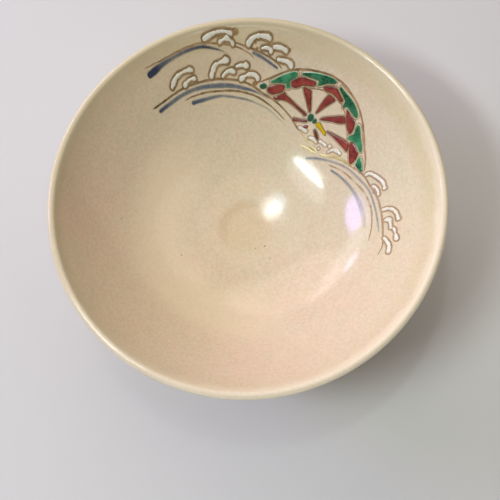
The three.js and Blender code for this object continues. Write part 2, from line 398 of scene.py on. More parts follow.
glaze_edge = into_wall(glaze_stop, wall_thickness(glaze_stop) - glaze_thickness / 2)
edge_lean = math.degrees(inner_slope(glaze_stop))
glaze_section = [
    *inside(glaze_thickness),
    *lip(glaze_thickness),
    *outside(glaze_thickness),
    *quarter(glaze_edge, glaze_thickness / 2, edge_lean + 90, edge_lean + 270, 6)[1:-1],
    *reversed(outside(0)),
    *reversed(lip(0)),
    *reversed(inside(0)),
]
glaze_shape = turn(glaze_section)
for v in glaze_shape.verts:
    r = math.hypot(v.co.x, v.co.y)
    around = math.atan2(v.co.y, v.co.x)
    if r < mouth_radius and abs(v.co.z - inner_height(r)) < 0.05:
        v.co.z += throwing_rings(r, around) / math.cos(inner_slope(r))
    elif v.co.z < inner_height(r) - wall_at_foot / 2:
        waver = noise.noise(Vector((2 * math.cos(around), 2 * math.sin(around), 5)))
        share = min(max(1 - (r - glaze_stop) / stop_waver_reach, 0), 1) ** 2
        outwards = 1 + stop_waver * waver * share / r
        v.co.x *= outwards
        v.co.y *= outwards
        v.co.z += stop_waver * waver * share * math.tan(inner_slope(r))
fire(glaze_shape)


def cream_glaze():
    """The glaze's colours, laid over each other from the broadest to the finest, and its gloss."""
    made, tree, look = new_finish("Cream crackled glaze")
    place = node(tree, "TexCoord").outputs["Object"]
    axes = node(tree, "SeparateXYZ", Vector=place)
    across = node(tree, "CombineXYZ", X=axes.outputs["X"], Y=axes.outputs["Y"])
    radius = node(tree, "VectorMath", {"operation": "LENGTH"}, Vector=across.outputs[0]).outputs["Value"]
    cloud = use(tree, clouds, Size_mm=34, Seed=1)
    freckle = use(tree, clouds, Size_mm=5, Seed=2)
    blush = use(tree, clouds, Size_mm=8, Seed=3)
    skin = use(tree, grain, Size_mm=0.7, Pinholes=0.5)
    # Greyer at the back right, pinker at the front left: partly the glaze's own blush, and partly
    # painted light, the cool tint of window light on the right wall and warm light bounced onto the front
    # left.
    leaning = reckon(tree, "MULTIPLY_ADD", axes.outputs["X"], 0.6, axes.outputs["Y"])
    towards_front = ease(tree, leaning, 0.06, -0.06)
    patchy = reckon(tree, "MULTIPLY", cloud.outputs["Cloud"], 0.35)
    blush_and_warm_light = reckon(tree, "MULTIPLY_ADD", towards_front, 0.65, patchy)
    cream = blend(tree, blush_and_warm_light, shade(213, 204, 171), shade(226, 198, 169))
    grey = blend(tree, reckon(tree, "MULTIPLY", freckle.outputs["Cloud"], 0.3), cream, shade(204, 190, 163))
    pink = blend(tree, reckon(tree, "MULTIPLY", blush.outputs["Cloud"], 0.3), grey, shade(228, 194, 170))
    dust = reckon(tree, "MULTIPLY", blush.outputs["Fine cloud"], 0.5)
    dusted = blend(tree, dust, pink, shade(229, 215, 190))
    speckle = reckon(tree, "MULTIPLY", ease(tree, skin.outputs["Height"], 0.5, 0.3), 0.3)
    speckled = blend(tree, speckle, dusted, shade(196, 178, 148))
    # A painted sheen: a broad paler ring half way up the left wall stands in for the soft
    # reflection of a lit wall to the right.
    off_sheen = reckon(tree, "ABSOLUTE", reckon(tree, "SUBTRACT", radius, sheen_radius * MM))
    rightwards = reckon(tree, "MULTIPLY_ADD", axes.outputs["Y"], 0.5, axes.outputs["X"])
    on_left = ease(tree, rightwards, 0.008, -0.03)
    painted_sheen = reckon(tree, "MULTIPLY", ease(tree, off_sheen, sheen_reach * MM, 4 * MM), on_left)
    sheened = blend(tree, reckon(tree, "MULTIPLY", painted_sheen, 0.5), speckled, shade(242, 222, 190))
    # Iron gathers where the glaze lies thick: a yellowish well. The browner arc at the back of
    # its edge is partly iron stain and partly painted shade of the well's low step, on the side turned from
    # the light.
    well = reckon(tree, "MULTIPLY", ease(tree, radius, well_radius * MM, 8 * MM), 0.3)
    welled = blend(tree, well, sheened, shade(214, 186, 142))
    off_edge = reckon(tree, "ABSOLUTE", reckon(tree, "SUBTRACT", radius, well_edge_radius * MM))
    behind = ease(tree, reckon(tree, "SUBTRACT", axes.outputs["Y"], axes.outputs["X"]), -0.006, 0.014)
    edge_stain_and_shade = reckon(tree, "MULTIPLY", ease(tree, off_edge, well_edge_width * MM, 0), behind)
    stain = reckon(tree, "MULTIPLY", edge_stain_and_shade, 0.3)
    well_stain_and_shade = blend(tree, stain, welled, shade(190, 152, 106))
    # On the lip the glaze runs thin, and looks paler.
    lip_waver = reckon(tree, "MULTIPLY", cloud.outputs["Fine cloud"], 1.2 * MM)
    lip_height = reckon(tree, "ADD", axes.outputs["Z"], lip_waver)
    pale = ease(tree, lip_height, (rim_height - pale_below_top) * MM, (rim_height - 0.5) * MM)
    under_lip = ease(tree, lip_height, (rim_height - straw_below_top) * MM, (rim_height - 6) * MM)
    # Partly painted shade: the yellowish tint under the lip is partly the glaze's colour and partly shade
    # painted on, stronger at the back wall.
    at_back = reckon(tree, "MULTIPLY_ADD", towards_front, -0.4, 0.5)
    straw_and_shade = blend(tree, reckon(tree, "MULTIPLY", under_lip, at_back), well_stain_and_shade, shade(206, 191, 148))
    # Painted light and shade: the lip is painted darker on the left and lighter on the right, as the light
    # falls on it.
    to_right = ease(tree, reckon(tree, "SUBTRACT", axes.outputs["X"], axes.outputs["Y"]), -0.06, 0.09)
    lip_tone_and_light = blend(tree, to_right, shade(198, 186, 152), shade(238, 226, 200))
    lipped = blend(tree, reckon(tree, "MULTIPLY", pale, 0.6), straw_and_shade, lip_tone_and_light)
    cells = node(tree, "TexVoronoi", {"feature": "DISTANCE_TO_EDGE"}, Vector=place, Scale=crackle_scale)
    crack = reckon(tree, "MULTIPLY", ease(tree, cells.outputs["Distance"], 0.05, 0.005), 0.09)
    cracked = blend(tree, crack, lipped, shade(150, 120, 88))
    # Fine dots of iron are scattered everywhere, and a few larger ones lie on the floor.
    dots = node(tree, "TexVoronoi", Vector=place, Scale=iron_dot_scale)
    dot_pick = node(tree, "SeparateColor", Color=dots.outputs["Color"]).outputs[0]
    few = reckon(tree, "LESS_THAN", dot_pick, 0.08)
    dot = reckon(tree, "MULTIPLY", ease(tree, dots.outputs["Distance"], 0.035, 0.02), few)
    for x, y, size in iron_specks:
        away = node(tree, "VectorMath", {"operation": "DISTANCE"}, Vector=place)
        away.inputs[1].default_value = (x * MM, y * MM, inner_height(math.hypot(x, y)) * MM)
        dot = reckon(tree, "MAXIMUM", dot, ease(tree, away.outputs["Value"], size * MM, size * MM / 2))
    spotted = blend(tree, reckon(tree, "MULTIPLY", dot, 0.7), cracked, shade(96, 66, 44))
    rough = node(tree, "MapRange", Value=freckle.outputs["Fine cloud"], To_Min=0.08, To_Max=0.14)
    set_inputs(tree, look, Base_Color=spotted, Roughness=rough.outputs["Result"])
    height = reckon(tree, "SUBTRACT", skin.outputs["Height"], reckon(tree, "MULTIPLY", crack, 1.5))
    relief(tree, look, 0.25, 0.00004, height)
    return made


glaze = cream_glaze()
piece("glaze", glaze_shape, glaze, "cream_glaze", "glaze_coat")

# The brushed waves: cobalt drawn on the raw glaze with a loaded brush, in one pull for each
# stroke. The fire sank it into the glaze, so it has the glaze's own gloss and soft edges.
path_fineness = 12
clear_of_glaze = 0.025
touch_size = 0.9
swell_share = 0.12


def on_wall(x, y, height):
    """The point a height off the glaze, at a place on the inner wall seen from above."""
    reach = math.hypot(x, y)
    around = math.atan2(y, x)
    thrown = reach / (1 + kiln_pull(reach, around))
    slope = inner_slope(thrown)
    off = height + throwing_rings(thrown, around)
    out = reach - off * math.sin(slope)
    up = inner_height(thrown) + off * math.cos(slope)
    return Vector((out * math.cos(around), out * math.sin(around), up))


def smooth_path(points, spacing, closed=False):
    """Evenly spaced points on a smooth line through the given ones. A width given with each
    point follows along."""
    given = np.array(points, float)
    if closed:
        posts = np.vstack([given[-1:], given, given[:2]])
    else:
        posts = np.vstack([2 * given[:1] - given[1:2], given, 2 * given[-1:] - given[-2:-1]])
    t = np.linspace(0, 1, path_fineness, endpoint=False)[:, None]
    spans = []
    for a, b, c, d in zip(posts, posts[1:], posts[2:], posts[3:]):
        second = (2 * a - 5 * b + 4 * c - d) * t**2
        third = (3 * b - a - 3 * c + d) * t**3
        spans.append((2 * b + (c - a) * t + second + third) / 2)
    fine = np.vstack([*spans, posts[-2:-1]])
    along = np.concatenate([[0], np.cumsum(np.hypot(*np.diff(fine[:, :2], axis=0).T))])
    stations = np.linspace(0, along[-1], max(3, round(along[-1] / spacing)) + 1)
    path = np.column_stack([np.interp(stations, along, column) for column in fine.T])
    return path[:-1] if closed else path


def sideways(path):
    """The direction to the left of a path at each of its points."""
    ahead = np.gradient(path[:, :2], axis=0)
    ahead /= np.hypot(*ahead.T)[:, None]
    return np.column_stack([-ahead[:, 1], ahead[:, 0]])


def stroke_outline(line, spacing=0.25, grow=0.0, tremble=0.2):
    """The outline of a brush stroke along a line that has a width at each point."""
    path = smooth_path(line, spacing)
    left = sideways(path)
    touch = [noise.noise(Vector((x / touch_size, y / touch_size, 24))) for x, y in path[:, :2]]
    half = path[:, 2:3] / 2 * (1 + tremble * np.array(touch)[:, None]) + grow
    start, end = path[0, :2], path[-1, :2]
    turns = np.linspace(0, math.pi, 9)[1:-1, None]
    ahead_end = np.array((left[-1, 1], -left[-1, 0]))
    ahead_start = np.array((left[0, 1], -left[0, 0]))
    end_cap = end + half[-1] * (np.sin(turns) * ahead_end - np.cos(turns) * left[-1])
    start_cap = start - half[0] * (np.sin(turns) * ahead_start - np.cos(turns) * left[0])
    right_side = path[:, :2] - left * half
    left_side = path[:, :2] + left * half
    return np.vstack([right_side, end_cap, left_side[::-1], start_cap])


def from_edge(places, outline):
    """Distance from each place to an outline, seen from above."""
    span = np.roll(outline, -1, axis=0) - outline
    to = places[:, None, :] - outline[None]
    share = np.clip((to * span).sum(-1) / np.maximum((span * span).sum(-1), 1e-9), 0, 1)
    return np.sqrt(((to - share[..., None] * span) ** 2).sum(-1)).min(1)


def blob(outline, height, shoulder, grid, sink=0.12, line=None):
    """A low closed blob laid on the wall. It rises from its outline over a rounded shoulder,
    and records how far in from the edge each point lies, and how much ink its line has there."""
    shape = bmesh.new()
    edge_layer = shape.verts.layers.float.new("depth")
    ink_layer = shape.verts.layers.float.new("ink")
    shape.faces.new([shape.verts.new((x, y, 0)) for x, y in outline])
    for axis in (0, 1):
        low, high = outline[:, axis].min(), outline[:, axis].max()
        for cut in np.arange(low + grid / 2, high, grid):
            square = Vector((axis == 0, axis == 1, 0))
            bmesh.ops.bisect_plane(
                shape,
                geom=shape.verts[:] + shape.edges[:] + shape.faces[:],
                dist=grid / 50,
                plane_co=square * cut,
                plane_no=square,
            )
    base = shape.verts[:]
    raised = bmesh.ops.extrude_face_region(shape, geom=shape.faces[:], use_keep_orig=True)
    top = [v for v in raised["geom"] if isinstance(v, bmesh.types.BMVert)]
    places = np.array([v.co.xy for v in top])
    depth = np.clip(from_edge(places, outline) / shoulder, 0, 1)
    for v, share in zip(top, depth):
        swell = 1 + swell_share * noise.noise(Vector((v.co.x, v.co.y, 3)))
        v.co.z = clear_of_glaze + height * swell * math.sqrt(1 - (1 - share) ** 2)
        v[edge_layer] = share
    for v in base:
        v.co.z = -sink
    if line is not None:
        path = smooth_path(line, grid)
        for v in shape.verts:
            nearest = np.hypot(path[:, 0] - v.co.x, path[:, 1] - v.co.y).argmin()
            v[ink_layer] = path[nearest, -1]
    bmesh.ops.recalc_face_normals(shape, faces=shape.faces)
    for v in shape.verts:
        v.co = on_wall(*v.co)
    return shape


def joined(shapes):
    """One shape that holds several."""
    whole = bmesh.new()
    for shape in shapes:
        loose = bpy.data.meshes.new("loose")
        shape.to_mesh(loose)
        whole.from_mesh(loose)
        bpy.data.meshes.remove(loose)
        shape.free()
    return whole


def cobalt():
    """Cobalt sunk in the glaze: dense where the brush landed, thin and grey where it left."""
    made, tree, look = new_finish("Cobalt brushwork")
    depth = recorded(tree, "depth")
    ink = recorded(tree, "ink")
    cloud = use(tree, clouds, Size_mm=6, Seed=7)
    uneven = reckon(tree, "MULTIPLY_ADD", cloud.outputs["Cloud"], 0.24, reckon(tree, "SUBTRACT", ink, 0.12))
    blue = blend(tree, uneven, shade(125, 145, 160), shade(22, 42, 80))
    strength = reckon(tree, "MULTIPLY_ADD", uneven, 0.6, 0.42)
    streak = reckon(tree, "MULTIPLY_ADD", cloud.outputs["Fine cloud"], -0.12, 1.0)
    body = reckon(tree, "MULTIPLY", ease(tree, depth, 0.0, 0.9), streak)
    set_inputs(tree, look, Base_Color=blue, Alpha=reckon(tree, "MULTIPLY", body, strength), Roughness=0.28)
    return made


brushwork = [
    [(-39.3, 53.6, 2.2, 1.25), (-37.2, 55.4, 2.4, 1.1), (-34, 58, 1.9, 0.6), (-30, 60.5, 1.65, 0.5),
     (-25, 63.1, 1.5, 0.65), (-19, 65.1, 1.4, 0.9), (-13, 65.3, 1.1, 0.9), (-7.8, 64.5, 0.4, 0.6)],
    [(2.0, 64.9, 1.6, 0.45), (3.8, 64.4, 1.7, 0.4), (6.4, 63.3, 1.5, 0.5), (9, 62, 1.45, 0.6),
     (11.8, 60.5, 1.2, 0.7)],
    [(-36, 43.8, 1.7, 0.75), (-33.7, 45.8, 1.8, 0.6), (-28.1, 50, 1.8, 0.5), (-22.6, 52.9, 1.8, 0.45),
     (-17, 54.6, 2.0, 0.45), (-8.7, 55.6, 2.1, 0.45), (-1.5, 55, 1.7, 0.45), (3.8, 53.7, 1.25, 0.4),
     (8.8, 51.6, 0.8, 0.4)],
    [(-22.8, 48.9, 1.9, 0.6), (-19.8, 50, 1.9, 0.55), (-14.2, 51.7, 1.7, 0.4), (-9.4, 52.4, 1.45, 0.35),
     (-1.5, 51.7, 1.3, 0.3), (3.8, 50.2, 1.1, 0.2), (9, 47.8, 1.0, 0.1), (16.2, 41.9, 0.6, 0.05)],
    [(24.6, 29.2, 1.6, 0.5), (28.8, 28.6, 1.6, 0.35), (34.7, 26.5, 1.4, 0.15), (40.6, 23, 1.4, 0.1),
     (45.6, 17.5, 1.4, 0.15), (49.4, 11.6, 1.3, 0.25), (51.3, 4.6, 1.2, 0.3), (52.2, -2.5, 1.1, 0.4),
     (52.3, -6, 0.8, 0.45)],
    [(34.7, 23.1, 1.4, 0.35), (38.2, 20, 1.5, 0.2), (42.1, 15.2, 1.7, 0.0), (45, 9.6, 2.1, -0.2),
     (46.8, 3.1, 2.5, -0.4), (47.3, -2.5, 2.0, -0.55)],
]
brush_shapes = [
    blob(stroke_outline(line, tremble=0.08), height=0.004, shoulder=0.75, grid=0.35, sink=0.2, line=line)
    for line in brushwork
]
piece("cobalt_strokes", joined(brush_shapes), cobalt(), "cobalt_stroke")

# The drawing: iron-brown lines laid with a fine brush or a trailer after the first firing.
# They stand a little proud, fence the enamels in, and are paler where the brush ran dry.
line_height = 0.1
line_spacing = 0.35
touch_share = 0.35
side_waver = 0.09
ink_waver = 0.6
drained_ink = 0.48
drained_from = 30
drained_over = 18


def ridge(line, load, height=line_height, closed=False):
    """A thin raised line on the wall, with a half-round section that follows its widths. It
    records how far in from its edge each point lies, and how much ink the brush had there:
    one load all along, or one at the start and one at the end. Lines on the right are drier."""
    path = smooth_path(line, line_spacing, closed)
    loads = load if isinstance(load, tuple) else (load, load)
    if closed:
        path = np.vstack([path, path[:2]])
    left = sideways(path)
    section = [(-1, -1), (-1, 0.05), (-0.65, 0.75), (0, 1), (0.65, 0.75), (1, 0.05), (1, -1)]
    shape = bmesh.new()
    edge_layer = shape.verts.layers.float.new("depth")
    ink_layer = shape.verts.layers.float.new("ink")
    ring = [shape.verts.new((0, 0, 0)) for post in section]
    edges = [shape.edges.new(pair) for pair in zip(ring, ring[1:] + ring[:1])]
    first = ring
    for step, (place, side) in enumerate(zip(path, left)):
        if step:
            grown = bmesh.ops.extrude_edge_only(shape, edges=edges)["geom"]
            edges = [e for e in grown if isinstance(e, bmesh.types.BMEdge)]
            ring = [v for v in grown if isinstance(v, bmesh.types.BMVert)]
        touch = 1 + touch_share * noise.noise(Vector((place[0] / 1.2, place[1] / 1.2, 9)))
        left_over = np.interp(step / len(path), [0, 1], loads)
        drained = drained_ink * min(max((place[0] - drained_from) / drained_over, 0), 1)
        ink = left_over - drained + ink_waver * noise.noise(Vector((place[0] / 3, place[1] / 3, 14)))
        waver = side_waver * noise.noise(Vector((place[0] / 2, place[1] / 2, 19)))
        ends = 1 if closed else min(1, 0.25 + 0.75 * min(step, len(path) - 1 - step) / 3)
        half = place[2] / 2 * touch * ends
        for v, (out, up) in zip(ring, section):
            x, y = place[:2] + side * (half * out + waver)
            v.co = on_wall(x, y, height * ends * up)
            v[ink_layer] = ink
            v[edge_layer] = 1 if abs(out) < 1 else 0
    for end in (first, ring):
        shape.faces.new(end)
    bmesh.ops.recalc_face_normals(shape, faces=shape.faces)
    return shape


def with_width(line, start, middle=None, end=None):
    """A line of places with a width for each, from its start through its middle to its end."""
    middle = start if middle is None else middle
    end = middle if end is None else end
    widths = np.interp(np.linspace(0, 1, len(line)), [0, 0.3, 0.7, 1], [start, middle, middle, end])
    return np.column_stack([np.array(line, float), widths])


def iron_line():
    """Iron brown, paler and thinner where the brush was dry."""
    made, tree, look = new_finish("Iron line")
    ink = recorded(tree, "ink")
    cloud = use(tree, clouds, Size_mm=3, Seed=11)
    brown = blend(tree, ink, shade(188, 156, 116), shade(100, 80, 42))
    fleck = reckon(tree, "MULTIPLY", cloud.outputs["Fine cloud"], 0.2)
    flecked = blend(tree, fleck, brown, shade(116, 90, 46))
    depth = recorded(tree, "depth")
    body = reckon(tree, "MULTIPLY", ease(tree, depth, 0.05, 0.95), ease(tree, ink, -0.9, 0.2))
    set_inputs(tree, look, Base_Color=flecked, Alpha=body, Roughness=0.25)
    return made


def iron_wash():
    """The same iron thinned to a golden stain, which the fire let creep out of the lines."""
    made, tree, look = new_finish("Iron wash")
    depth = recorded(tree, "depth")
    cloud = use(tree, clouds, Size_mm=4, Seed=12)
    golden = blend(tree, cloud.outputs["Cloud"], shade(168, 130, 62), shade(142, 110, 50))
    strength = reckon(tree, "MULTIPLY_ADD", cloud.outputs["Cloud"], 0.3, 0.6)
    body = reckon(tree, "MULTIPLY", ease(tree, depth, 0, 1), strength)
    set_inputs(tree, look, Base_Color=golden, Alpha=body, Roughness=0.2)
    return made


iron = iron_line()
wash = iron_wash()
wave_lines = [
    with_width([(-41, 55), (-36, 58), (-30, 61.5), (-25, 64), (-20, 65.8), (-15, 66.5), (-10, 66.7),
                (-4.1, 66.2), (0.1, 64.9), (2.5, 63.4)], 0.35, 0.6, 0.35),
    with_width([(-5.7, 67.5), (-1.5, 66.7), (2.7, 65.7), (7.5, 64.1), (11.7, 62),
                (13.9, 59.9)], 0.5, 0.75, 0.4),
    with_width([(-38.9, 43.8), (-31.4, 49.6), (-26.4, 52.9), (-22.6, 54.6), (-17, 56.4), (-11.4, 57.4),
                (-4.1, 57.3), (1.2, 56), (6.4, 53.3), (11.7, 50.4), (17, 45.7),
                (21.5, 39.6)], 0.7, 0.9, 0.7),
    with_width([(-26.2, 49.2), (-22, 51.3), (-15.6, 53.2), (-6.4, 54.2), (1.2, 53.2), (6.4, 51.1),
                (11.7, 47.5), (15.4, 44.1)], 0.4, 0.8, 0.4),
    with_width([(42.5, 23.2), (47.1, 18.7), (49.7, 13.7), (52.3, 8.1), (53.5, 1.7), (53.8, -4.8),
                (53.3, -12.2), (51.2, -16.1)], 0.75, 0.8, 0.35),
    with_width([(33.5, 25.5), (38.8, 22.2), (43.5, 17.2), (47.6, 11.4), (49.9, 4.6), (49.9, -3.1),
                (48.4, -9.2)], 0.6, 0.85, 0.4),
]
wave_loads = [(0.1, 0.45), (0.5, 0.6), (0.85, 0.35), (0.6, 0.5), (0.55, 0.8), (-0.15, 0.35)]
wave_ridges = [ridge(line, load=load) for line, load in zip(wave_lines, wave_loads)]
piece("wave_lines", joined(wave_ridges), iron, "iron_line")

# Foam: thick white enamel dropped from a trailer onto the glaze and fired last, so it stands
# up in glossy fingers. An iron line goes round each one.
foam_height = 0.32
foam_spread = 0.04
foam_line_gap = 0.28
foam_line_width = 0.55
foam_tremble = 0.45
foam_shoulder = 0.45
dry_line_width = 0.4
stain_reaches = {"left_foam": 1.05, "right_foam": 0.8925}


def white_enamel():
    """Opaque white, creamier at its edge, with fine pinholes."""
    made, tree, look = new_finish("White enamel")
    depth = recorded(tree, "depth")
    cloud = use(tree, clouds, Size_mm=2.5, Seed=21)
    skin = use(tree, grain, Size_mm=0.25, Pinholes=0.6)
    thinner = reckon(tree, "MULTIPLY", cloud.outputs["Cloud"], 0.5)
    white = blend(tree, thinner, shade(232, 230, 216), shade(218, 213, 194))
    edge = reckon(tree, "MULTIPLY", ease(tree, depth, 0.4, 0.0), 0.5)
    set_inputs(tree, look, Base_Color=blend(tree, edge, white, shade(204, 192, 160)), Roughness=0.18)
    relief(tree, look, 0.3, 0.00004, skin.outputs["Height"])
    return made


white = white_enamel()
left_foam = [
    [(-17.6, 67.2, 1.4), (-15.6, 68.2, 1.2), (-13.1, 69.2, 0.9), (-10, 69.8, 0.8), (-6.8, 69.5, 1.1)],
    [(-11.5, 67.1, 1.1), (-10.2, 67.7, 0.8), (-8.6, 68.3, 1.4), (-7.2, 67.8, 0.8), (-6.2, 67.1, 1.2)],
    [(0.2, 67.3, 1.7), (1.0, 68.0, 1.6), (2.5, 68.8, 1.1), (4.8, 69.1, 1.1), (6.6, 68.9, 1.1),
     (7.8, 68.7, 1.5), (8.7, 68.3, 1.6)],
    [(5.5, 66, 0.5), (6.9, 66.1, 0.8), (7.9, 66.0, 0.8), (8.6, 65.7, 1.4), (9.2, 65.2, 1.4)],
    [(10.4, 66.1, 1.0), (12.2, 65.9, 1.3), (13.8, 65.5, 1.1), (15.4, 64.7, 1.3)],
    [(12.1, 62.8, 0.8), (14, 62.4, 1.3), (15.6, 62.0, 1.1), (16.8, 61.3, 1.7), (17.5, 60.6, 1.7)],
    [(-31, 52.2, 1.1), (-30.3, 53.6, 1.4), (-29.2, 55.3, 1.1), (-27.6, 56.7, 0.9), (-25.6, 57.8, 0.8),
     (-23.7, 58.5, 1.2), (-22.9, 58.6, 1.3)],
    [(-25.9, 53.7, 1.3), (-25.1, 54.7, 1.0), (-23.7, 55.8, 0.7), (-21.8, 56.4, 1.1)],
    [(-15.1, 57.9, 1.6), (-14.4, 59.5, 1.5), (-13.4, 61, 1.2), (-11.6, 61.9, 0.9), (-10.3, 62.3, 1.0),
     (-9.2, 62.7, 1.8), (-8.5, 62.7, 1.8)],
    [(-10.4, 58.2, 1.2), (-9.4, 59.2, 1.0), (-7.8, 59.9, 0.8), (-6.5, 59.9, 1.4), (-5.8, 59.7, 1.4)],
    [(-4.9, 61.2, 0.7), (-3, 61.6, 0.9), (-1.9, 61.6, 0.9), (-1.1, 61.6, 1.7), (-0.4, 61.5, 1.7)],
    [(-2.9, 57.8, 1.6), (-2.2, 58.1, 1.5), (-1.1, 58.7, 0.9), (0.2, 59.1, 1.0), (1.9, 59.1, 1.1),
     (3.2, 58.7, 1.2), (3.9, 58, 1.5)],
]
right_foam = [
    [(48.3, 18.5, 1.0), (49.6, 18.6, 1.0), (51.3, 17.3, 1.0), (53, 15.5, 1.0), (54.2, 13.9, 1.1),
     (54.7, 12.4, 0.8), (54.9, 11.3, 1.1)],
    [(50.8, 13.3, 1.0), (51.9, 12.2, 0.9), (52.5, 10.8, 0.8), (52.7, 9.4, 1.0)],
    [(54.3, 2.7, 1.1), (55.9, 2.7, 1.2), (57.6, 1.7, 1.1), (58.7, -0.1, 1.0), (59.2, -2.7, 1.2)],
    [(54.8, -1.8, 1.0), (56.1, -2, 1.8), (56.5, -3.9, 0.8), (56.5, -5.7, 0.9)],
    [(57.4, -5.9, 0.6), (57.7, -6.8, 1.0), (57.9, -8.3, 0.4), (58.1, -9.7, 1.2), (58.1, -10.9, 1.2)],
    [(54.1, -9.2, 1.0), (54.9, -11, 1.1), (55.5, -13, 1.2), (55, -15.8, 1.1)],
]
wheel_foam = [
    [(21.6, 40.9, 0.9), (22.8, 40.3, 1.0), (24.2, 39.4, 1.2)],
    [(25.6, 36.8, 0.8), (26.8, 36.4, 1.1), (27.8, 35.6, 0.9), (28.4, 34.7, 0.8)],
    [(30.1, 34.8, 1.0), (31.1, 34.1, 0.6), (32.1, 33.1, 1.2)],
    [(33.9, 32.5, 1.1), (34.1, 32.2, 1.2)],
    [(29.4, 32.3, 0.7), (29.6, 32.2, 0.7)],
    [(33.3, 30.3, 0.6), (35.1, 30.8, 0.9), (36.8, 30.2, 1.3), (38, 28.8, 1.0)],
]
foam = {"left_foam": left_foam, "right_foam": right_foam, "wheel_foam": wheel_foam}
foam_lines = []
foam_stains = []
for family, fingers in foam.items():
    for number, finger in enumerate(fingers, 1):
        outline = stroke_outline(finger, 0.2, foam_spread, foam_tremble)
        shape = blob(outline, height=foam_height, shoulder=foam_shoulder, grid=0.2)
        piece(f"{family}_bead_{number}", shape, white, "white_enamel", f"{family}_{number}")
        fence = stroke_outline(finger, 0.6, foam_line_gap)
        if family in stain_reaches:
            around = stroke_outline(finger, 0.4, stain_reaches[family])
            foam_stains.append(blob(around, height=0.015, shoulder=0.8, grid=0.4, sink=0.2))
            foam_lines.append(ridge(with_width(fence, foam_line_width), closed=True, load=0.5))
        else:
            foam_lines.append(ridge(with_width(fence, dry_line_width), closed=True, load=-0.1))
piece("foam_lines", joined(foam_lines), iron, "iron_line")

# Stains of the same iron: the fire let it creep out round the foam, and the brush left a blot
# here and there where it was lifted. They lie in the glaze and are hardly raised.
iron_blots = [(-5.2, 70.0, 1.7), (3.0, 69.6, 0.6), (3.0, 67.4, 0.7), (3.6, 66.0, 0.9),
              (16.4, 64.8, 1.1), (2.8, 56.5, 1.4), (51.0, 10.5, 0.8)]


def round_dot(x, y, half_width, half_height):
    """The corners of an oval drop."""
    turns = np.linspace(0, math.tau, 9)[:-1]
    return [(x + half_width * math.cos(a), y + half_height * math.sin(a)) for a in turns]


for x, y, radius in iron_blots:
    drop = smooth_path(round_dot(x, y, radius, radius * 0.7), 0.3, closed=True)
    foam_stains.append(blob(drop, height=0.02, shoulder=0.5, grid=0.4, sink=0.2))
piece("foam_stains", joined(foam_stains), wash, "iron_line")

# The wheel: glassy green and iron-red enamels, each laid as a puddle inside its own fence of
# lines, so that it is thin at its edge. The greens also ran deeper towards one end.
enamel_height = 0.3


def glassy(name, deep, middle, thin, thin_depth, roughness, seed):
    """A transparent enamel's look: its colour follows how deep it lies, and is clouded."""
    made, tree, look = new_finish(name)
    depth = recorded(tree, "depth")
    cloud = use(tree, clouds, Size_mm=4, Seed=seed)
    skin = use(tree, grain, Size_mm=0.35, Pinholes=0.4)
    pull = recorded(tree, "ink")
    laid = reckon(tree, "MULTIPLY_ADD", cloud.outputs["Cloud"], 0.8, 0.1)
    colour = blend(tree, reckon(tree, "ADD", laid, pull), middle, deep)
    mottled = blend(tree, reckon(tree, "MULTIPLY", cloud.outputs["Fine cloud"], 0.45), colour, middle)
    edge = reckon(tree, "MULTIPLY", ease(tree, depth, thin_depth, 0.1), 0.9)
    set_inputs(tree, look, Base_Color=blend(tree, edge, mottled, thin), Roughness=roughness)
    relief(tree, look, 0.3, 0.00004, skin.outputs["Height"])
    return made


green = glassy("Green enamel", shade(0, 62, 42), shade(70, 146, 102), shade(150, 172, 132), 0.45, 0.14, 39)
# Dark green's pale thin edge is partly a painted highlight, standing in for the glint on the glassy beads of
# the hub and its cap.
dark_green = glassy(
    "Dark green enamel", shade(14, 48, 34), shade(56, 104, 70), shade(120, 156, 136), 0.5, 0.14, 33
)
red = glassy("Red enamel", shade(92, 26, 28), shade(160, 70, 61), shade(80, 40, 26), 0.9, 0.2, 35)
yellow = glassy("Yellow enamel", shade(190, 154, 10), shade(212, 182, 36), shade(142, 114, 30), 0.8, 0.16, 37)


def polygon_area(path):
    """Area inside an outline, which is negative where it runs clockwise."""
    x, y = path.T
    return (x * np.roll(y, -1) - np.roll(x, -1) * y).sum() / 2


def spread(corners, reach, spacing=0.3):
    """A smooth outline through its corners, moved outwards by a reach."""
    path = smooth_path(corners, spacing, closed=True)
    out = -sideways(np.vstack([path[-1:], path, path[:1]]))[1:-1]
    return path + math.copysign(reach, polygon_area(path)) * out


def cell(name, corners, finish, slot, node_name, reach, shoulder=0.65, pull=None):
    """A puddle of enamel that has run out a little past its corners. It lies deeper at some
    places of a line along it."""
    shape = blob(spread(corners, reach), height=enamel_height, shoulder=shoulder, grid=0.3, line=pull)
    piece(name, shape, finish, slot, node_name)


outer_felloes = [
    round_dot(6.2, 55.6, 1.4, 0.8),
    [(9.2, 56.7), (11.8, 56.3), (15.3, 55.9), (15.9, 54.4), (17.4, 54.5), (17.1, 56.2), (19.9, 57.3),
     (20.2, 58.2), (19, 58.8), (17.1, 58.7), (13.4, 58.1)],
    [(22.4, 58.1), (22.8, 57.3), (25.9, 56.2), (28.7, 54.8), (28.4, 53.8), (29.2, 53.3), (32.1, 53.4),
     (34.9, 52.7), (35.7, 53.1), (33.7, 54.8), (30.6, 56.2), (27.4, 57.3)],
    [(37.4, 51.3), (37.1, 50.6), (38.4, 48.4), (39.3, 46.5), (38.7, 45.3), (38.9, 44.4), (40.3, 44.4),
     (42.1, 42.1), (43.7, 40.1), (44.5, 40.3), (44, 42.4), (42.8, 44.9), (40.9, 47.4), (39, 49.5)],
    [(44.6, 37.4), (43.8, 36.5), (43.3, 34.8), (41.4, 34.4), (41.3, 33.3), (43.2, 32.0), (44.6, 30.3),
     (45.6, 28.1), (46.3, 27.4), (46.5, 29.6), (45.9, 32.8), (45.4, 36.5)],
    [(45.6, 25.7), (44.9, 24.9), (44.2, 23.4), (44.6, 22.4), (46, 20.4), (46.8, 20.3), (46.8, 22.4),
     (46.2, 25.3)],
]
